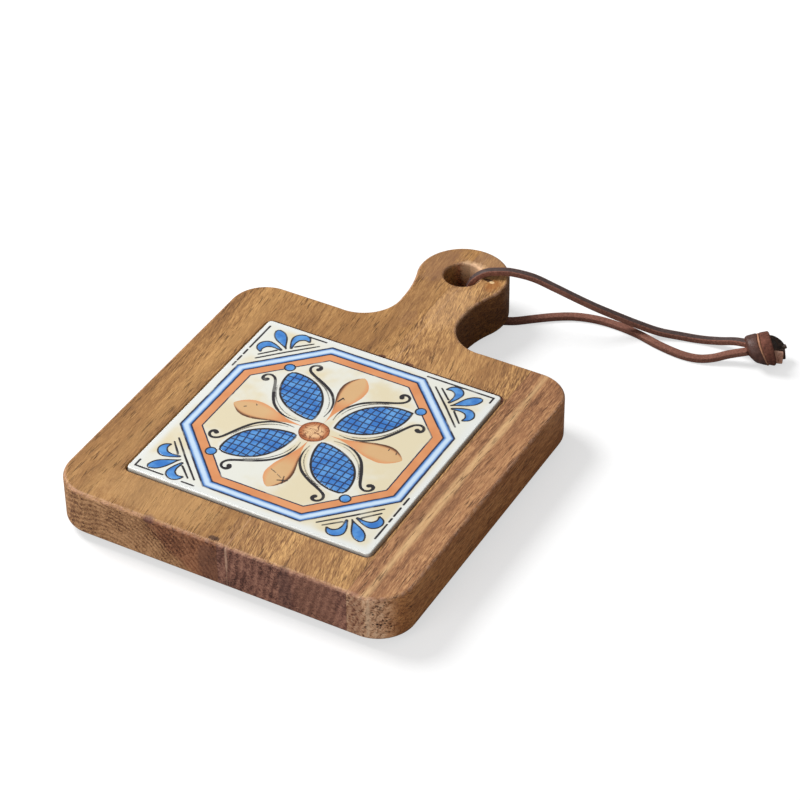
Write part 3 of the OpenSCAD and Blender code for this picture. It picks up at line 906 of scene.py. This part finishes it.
def glaze_fields(x, y):
    """The painted pattern as distances in millimetres from the edges of its figures, by symmetry."""
    u, v = np.abs(x), np.abs(y)
    s, t = (u + v) / ROOT2, (v - u) / ROOT2
    far, near = np.maximum(u, v), np.minimum(u, v)
    leaf = leaf_field(x, y, s, t)
    flower, corner_lines = corner_fields(x, y, s, t)
    dot = np.hypot(u - DOT_AT, v - DOT_AT) - DOT_RADIUS
    disc = np.hypot(x - HUB_AT[0], y - HUB_AT[1]) - HUB_RADIUS
    drop = leaf_distance(far, near, **DROP)
    tan, brown = drop_shades(x, y, disc, drop)

    here = np.column_stack((x, y))
    mirrored = np.column_stack((s, np.abs(t)))
    strokes = [distance_to(mirrored, *TENDRIL), distance_to(mirrored, *CONTOUR), corner_lines]
    for axis, place, dashes in DASHES:
        turned = here if axis == 0 else here[:, ::-1]
        strokes += [distance_to(turned, [(place, a), (place, b)], [DASH_HALF_WIDTH] * 2) for a, b in dashes]
    strokes += [distance_to(here, [a, b], [half, half]) for a, b, half in CRACKS]
    strokes += [np.abs(leaf) - LEAF_OUTLINE, np.abs(dot) - FIGURE_OUTLINE, np.abs(flower) - FIGURE_OUTLINE]

    bend = LATTICE_BEND * t ** 2
    return {
        "border": -np.maximum(far - BORDER_HALF, s - BORDER_CORNER),
        "leaf": leaf,
        "blue": np.minimum(np.minimum(leaf, dot), flower),
        "ink": np.minimum.reduce(strokes),
        "terra": np.minimum(drop, disc),
        "tan": tan,
        "shade": brown,
        "disc": disc,
        "dot": dot,
        "rows": (s + t - bend) / ROOT2 / LATTICE_PITCH,
        "columns": (s - t - bend) / ROOT2 / LATTICE_PITCH,
        "edge": TILE_HALF - far,
    }


def top_grid():
    """The grid of the tile's top before its corners are rounded: lines, close together on the eased edge."""
    ease = np.array([TILE_EASE * (1 - math.cos(math.radians(a))) for a in EASE_ANGLES])
    inner = TILE_HALF - TILE_EASE
    middle = np.linspace(-inner, inner, round(2 * inner / GLAZE_PITCH) + 1)
    return np.concatenate((ease - TILE_HALF, middle, (TILE_HALF - ease)[::-1]))


def tile_top():
    """The glazed top, with eased edges and rounded corners, and the painted fields of its points."""
    lines = top_grid()
    size = len(lines)
    x, y = (values.ravel() for values in np.meshgrid(lines, lines))
    fields = glaze_fields(x, y)
    inside = TILE_HALF - np.maximum(np.abs(x), np.abs(y))
    down = np.clip(TILE_EASE - inside, 0, TILE_EASE)
    z = TILE_TOP - (TILE_EASE - np.sqrt(np.maximum(TILE_EASE ** 2 - down ** 2, 0)))
    flat = TILE_HALF - TILE_CORNER
    cx, cy = np.maximum(np.abs(x) - flat, 0), np.maximum(np.abs(y) - flat, 0)
    reach = np.maximum(np.hypot(cx, cy), 1e-9)
    pull = np.where((cx > 0) & (cy > 0), np.maximum(cx, cy) / reach, 1)
    px = np.sign(x) * (np.minimum(np.abs(x), flat) + cx * pull)
    py = np.sign(y) * (np.minimum(np.abs(y), flat) + cy * pull)
    faces = []
    for row in range(0, (size - 1) * size, size):
        faces += [(row + i, row + i + 1, row + size + i + 1, row + size + i) for i in range(size - 1)]
    return list(zip(px, py + TILE_Y, z)), faces, size, fields


def add_sides(points, faces, rim):
    """The sides down from the top's rim, glazed and then bare. Returns the lowest rim."""
    count = len(rim)
    for z in (GLAZE_ENDS, TILE_BOTTOM):
        below = [len(points) + i for i in range(count)]
        points += [(points[i][0], points[i][1], z) for i in rim]
        faces += [(rim[i], below[i], below[(i + 1) % count], rim[(i + 1) % count]) for i in range(count)]
        rim = below
    return rim


def add_back(points, faces, rim):
    """The back within the lowest rim, with keying grooves sunk into it."""
    count = len(rim)
    flat = [Vector((points[i][0], points[i][1] - TILE_Y)) for i in rim]
    loops = [(i, (i + 1) % count) for i in range(count)]
    half_width, half_length = KEY_WIDTH / 2, KEY_LENGTH / 2
    grooves = [(k - (KEYS - 1) / 2) * KEY_PITCH for k in range(KEYS)]
    mouths = []
    for middle in grooves:
        mouth = [len(flat) + k for k in range(4)]
        flat += [Vector((middle + a * half_width, b * half_length)) for a, b in SQUARE]
        loops += [(mouth[k], mouth[(k + 1) % 4]) for k in range(4)]
        mouths.append(mouth)
    cut_points, _, cut_faces, origins, _, _ = delaunay_2d_cdt(flat, loops, [], 1, 1e-5)
    under = []
    for point, origin in zip(cut_points, origins):
        if origin and origin[0] < count:
            under.append(rim[origin[0]])
        else:
            under.append(len(points))
            points.append((point[0], point[1] + TILE_Y, TILE_BOTTOM))
    for face in cut_faces:
        centre = sum((cut_points[i] for i in face), Vector((0, 0))) / 3
        within = abs(centre[1]) < half_length
        if not any(within and abs(centre[0] - middle) < half_width for middle in grooves):
            faces.append(tuple(under[i] for i in reversed(face)))
    placed = {origin[0]: under[i] for i, origin in enumerate(origins) if origin}
    for mouth in mouths:
        low = [placed[i] for i in mouth]
        high = [len(points) + k for k in range(4)]
        points += [(points[i][0], points[i][1], TILE_BOTTOM + KEY_DEPTH) for i in low]
        faces += [(low[k], high[k], high[(k + 1) % 4], low[(k + 1) % 4]) for k in range(4)]
        faces.append(tuple(reversed(high)))


# The glaze's paints: colours in pairs are the two between which each is mottled

WHITE = rgb(226, 226, 216)
CREAM = rgb(222, 210, 178)
RIM_WHITE = rgb(226, 228, 224)
LEAF_HALO = rgb(226, 225, 217)
PALE_BLUES = (rgb(214, 230, 244), rgb(184, 212, 238))
BORDER_BLUE = rgb(46, 116, 192)
TERRACOTTAS = (rgb(222, 152, 102), rgb(212, 138, 88))
TANS = (rgb(218, 180, 132), rgb(208, 164, 114))
BROWN = rgb(92, 56, 36)
HUB_MIDDLE = rgb(232, 188, 140)
HUB_RIM = rgb(178, 104, 62)
HUB_LINES = rgb(116, 62, 36)
LEAF_BLUES = (rgb(50, 115, 192), rgb(94, 156, 218))
LATTICE_BLUE = rgb(30, 38, 74)
RAIL_BLUE = rgb(40, 44, 70)
INK = rgb(38, 34, 38)
# Distances in from the octagon's outer edge: the blue band's pale middle and end, the terracotta band
BLUE_MIDDLE = 1.85
BLUE_BAND = (0.0, 3.7)
TERRA_BAND = (3.72, 7.4)
# Thin dark rails of the octagon: distance in, and half width
RAILS = ((0.0, 0.36), (3.7, 0.30), (7.45, 0.26))
# Half the distance over which a painted edge fades, and the terracotta band's
SOFT = 0.12
TERRA_SOFT = 0.10
GLAZE_RELIEF = 0.00025


class GlazeNodes(Nodes):
    """The nodes of the painted glaze, with the noises that its figures share."""

    def __init__(self, name):
        super().__init__(name)
        wobble = self.centred(self.noise(260, 3), 0.60)
        self.shake = self.summed(wobble, self.centred(self.noise(1400, 2), 0.28))
        self.mottle = self.noise(55, 3, 0.6)
        self.patch = self.noise(90, 3)
        self.streaky = self.noise(380, 3, 0.7)
        self.thin = self.step(self.noise(120, 2), 0.30, 0.42, 0.62, 1)
        self.terra = self.mix(self.step(self.patch, 0.35, 0.7), *TERRACOTTAS)

    def shaken(self, field, share):
        """A painted field whose edges waver as a brush does."""
        return self.summed(self.attribute(field), self.times(self.shake, share))

    def band(self, distance, ends, soft):
        start, end = ends
        rise = self.step(distance, start - soft, start + soft)
        return self.times(rise, self.step(distance, end + soft, end - soft))


def painted_ground(n):
    cloud = n.noise(24, 2)
    both = n.summed(n.times(n.mottle, 0.5), n.times(cloud, 0.5))
    ground = n.mix(n.step(both, 0.42, 0.58), WHITE, CREAM)
    ground = n.mix(n.step(n.attribute("edge"), 1.2, 4.6, 1, 0), ground, RIM_WHITE)
    return n.mix(n.step(n.attribute("leaf"), 2.2, 0.6, 0, 0.85), ground, LEAF_HALO)


def painted_border(n, colour, border):
    """The octagon: a blue band with a pale middle, and a terracotta one inside it."""
    across = n.summed(n.away(border, BLUE_MIDDLE), n.times(n.streaky, 0.35))
    blue = n.mix(n.step(across, 0.55, 1.75), n.mix(n.patch, *PALE_BLUES), BORDER_BLUE)
    colour = n.mix(n.band(border, BLUE_BAND, SOFT), colour, blue)
    return n.mix(n.band(border, TERRA_BAND, TERRA_SOFT), colour, n.terra)


def painted_drops(n, colour):
    """The four drops, and the hub in the middle with its curled lines."""
    petal = n.mix(n.attribute("tan"), n.terra, n.mix(n.patch, *TANS))
    brown = n.times(n.attribute("shade"), n.step(n.streaky, 0.25, 0.5, 0.55, 1))
    petal = n.mix(brown, petal, BROWN)
    disc = n.attribute("disc")
    swirl = n.step(n.away(n.noise(190, 1, 0.5, 3.0), 0.5), 0.055, 0.020, 0, 0.85)
    hub = n.mix(n.step(disc, -3.4, -0.8), HUB_MIDDLE, HUB_RIM)
    hub = n.mix(n.math("MAXIMUM", swirl, n.step(disc, -0.55, -0.30)), hub, HUB_LINES)
    petal = n.mix(n.step(disc, 0.1, -0.1), petal, hub)
    return n.mix(n.step(n.shaken("terra", 0.7), SOFT, -SOFT), colour, petal)


def painted_leaves(n, colour):
    """The blue leaves, dots and flowers, and the leaves' lattice."""
    wash = n.noise(170, 3, 0.6)
    blue = n.mix(n.step(wash, 0.35, 0.68), *LEAF_BLUES)
    colour = n.mix(n.step(n.shaken("blue", 0.6), SOFT, -SOFT), colour, blue)
    cells = [n.math("FRACT", n.shaken(field, 0.20)) for field in ("rows", "columns")]
    lines = [n.step(n.away(cell, 0.5), 0.135, 0.075) for cell in cells]
    lattice = n.times(n.math("MAXIMUM", *lines), n.step(n.attribute("leaf"), 0.0, -0.2))
    return n.mix(n.times(lattice, 0.90), colour, LATTICE_BLUE)


def painted_rails(n, colour, border):
    """The octagon's thin dark rails, which stop at the dots."""
    rails = 0.0
    for place, half in RAILS:
        rails = n.math("MAXIMUM", rails, n.step(n.away(border, place), half + 0.12, half - 0.08))
    rails = n.times(rails, n.step(n.attribute("dot"), 0.0, 0.2))
    return n.mix(n.times(rails, n.thin), colour, RAIL_BLUE)


def glaze():
    n = GlazeNodes("glaze")
    border = n.shaken("border", 0.45)
    colour = painted_border(n, painted_ground(n), border)
    colour = painted_leaves(n, painted_drops(n, colour))
    colour = painted_rails(n, colour, border)
    inked = n.times(n.step(n.shaken("ink", 0.35), 0.14, -0.10), n.math("MAXIMUM", n.thin, 0.8))
    colour = n.mix(inked, colour, INK)
    n.surface(Base_Color=colour, Roughness=n.step(n.mottle, 0.3, 0.7, 0.16, 0.26), Specular_IOR_Level=0.5,
              Coat_Weight=0.4, Coat_Roughness=0.08)
    waves = n.times(n.noise(75, 2), 0.6)
    n.bump(n.math("SUBTRACT", waves, n.times(inked, 0.35)), GLAZE_RELIEF, 0.6)
    return n.material


def make_tile():
    points, faces, size, fields = tile_top()
    top_faces = len(faces)
    last = size - 1
    rim = [i for i in range(last)] + [last + j * size for j in range(last)]
    rim += [size * size - 1 - i for i in range(last)] + [(last - j) * size for j in range(last)]
    lowest = add_sides(points, faces, rim)
    add_back(points, faces, lowest)
    bare_faces = len(faces) - top_faces - len(rim)
    slots = [0] * top_faces + [2] * len(rim) + [1] * bare_faces
    tile = new_piece("glazed_tile", points, faces, [glaze(), BISCUIT, BARE_GLAZE], slots)
    tile.data.polygons.foreach_set("use_smooth", np.arange(len(faces)) < top_faces)
    for name, values in fields.items():
        layer = tile.data.attributes.new(name, "FLOAT", "POINT")
        full = np.zeros(len(points), np.float32)
        full[: len(values)] = values
        layer.data.foreach_set("value", full)
    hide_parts("tile")


make_tile()

# Finishes of the nodes that stay as they are

FINISHES = {**WOODS, "tile_adhesive": ADHESIVE}
FINISHES.update((name, RUBBER) for name in NODES if name.startswith("foot_"))
for name, material in FINISHES.items():
    NODES[name].data.materials.clear()
    NODES[name].data.materials.append(material)

# The stage: a pale floor that keeps the shadow, a white world and two soft lamps

FLOOR_HALF = 6
# The floor as other surfaces meet it, and as the camera sees it
FLOOR_MET = (0.25, 0.25, 0.25)
FLOOR_SEEN = (0.46, 0.46, 0.46)
FLOOR_GLOW = 0.60
WORLD_LIGHT = 0.30
BLACK_LIGHT = (0, 0, 0)
WHITE_LIGHT = (1, 1, 1)
# Lamps: place, diameter and power
LAMPS = {
    "key": ((-1.05, 0.10, 1.30), 0.8, 28),
    "fill": ((-0.5, -1.9, 0.75), 1.2, 15),
}


def make_floor():
    mesh = bpy.data.meshes.new("floor")
    mesh.from_pydata([(a * FLOOR_HALF, b * FLOOR_HALF, 0) for a, b in SQUARE], [], [(0, 1, 2, 3)])
    n = Nodes("floor")
    seen = n.add("LightPath").outputs["Is Camera Ray"]
    n.surface(Base_Color=n.mix(seen, FLOOR_MET, FLOOR_SEEN), Roughness=1.0, Specular_IOR_Level=0.0,
              Emission_Color=n.mix(seen, BLACK_LIGHT, WHITE_LIGHT), Emission_Strength=FLOOR_GLOW)
    mesh.materials.append(n.material)
    new_object("floor", mesh)


def make_world():
    world = bpy.data.worlds.new("world")
    world.use_nodes = True
    bpy.context.scene.world = world
    tree = world.node_tree
    tree.nodes.clear()
    out = tree.nodes.new("ShaderNodeOutputWorld")
    mix = tree.nodes.new("ShaderNodeMixShader")
    path = tree.nodes.new("ShaderNodeLightPath")
    tree.links.new(path.outputs["Is Camera Ray"], mix.inputs[0])
    for place, strength in ((1, WORLD_LIGHT), (2, 1.0)):
        background = tree.nodes.new("ShaderNodeBackground")
        background.inputs[0].default_value = (*WHITE_LIGHT, 1)
        background.inputs[1].default_value = strength
        tree.links.new(background.outputs[0], mix.inputs[place])
    tree.links.new(mix.outputs[0], out.inputs[0])


def make_lamp(name, place, diameter, power):
    """A round lamp that points at the frame's origin."""
    data = bpy.data.lights.new(name, "AREA")
    data.shape = "DISK"
    data.size = diameter
    data.energy = power
    lamp = new_object(name, data)
    lamp.location = place
    lamp.rotation_euler = (-Vector(place)).to_track_quat("-Z", "Y").to_euler()


make_floor()
make_world()
for name, (place, diameter, power) in LAMPS.items():
    make_lamp(name, place, diameter, power)
bpy.context.scene.view_settings.view_transform = "Standard"
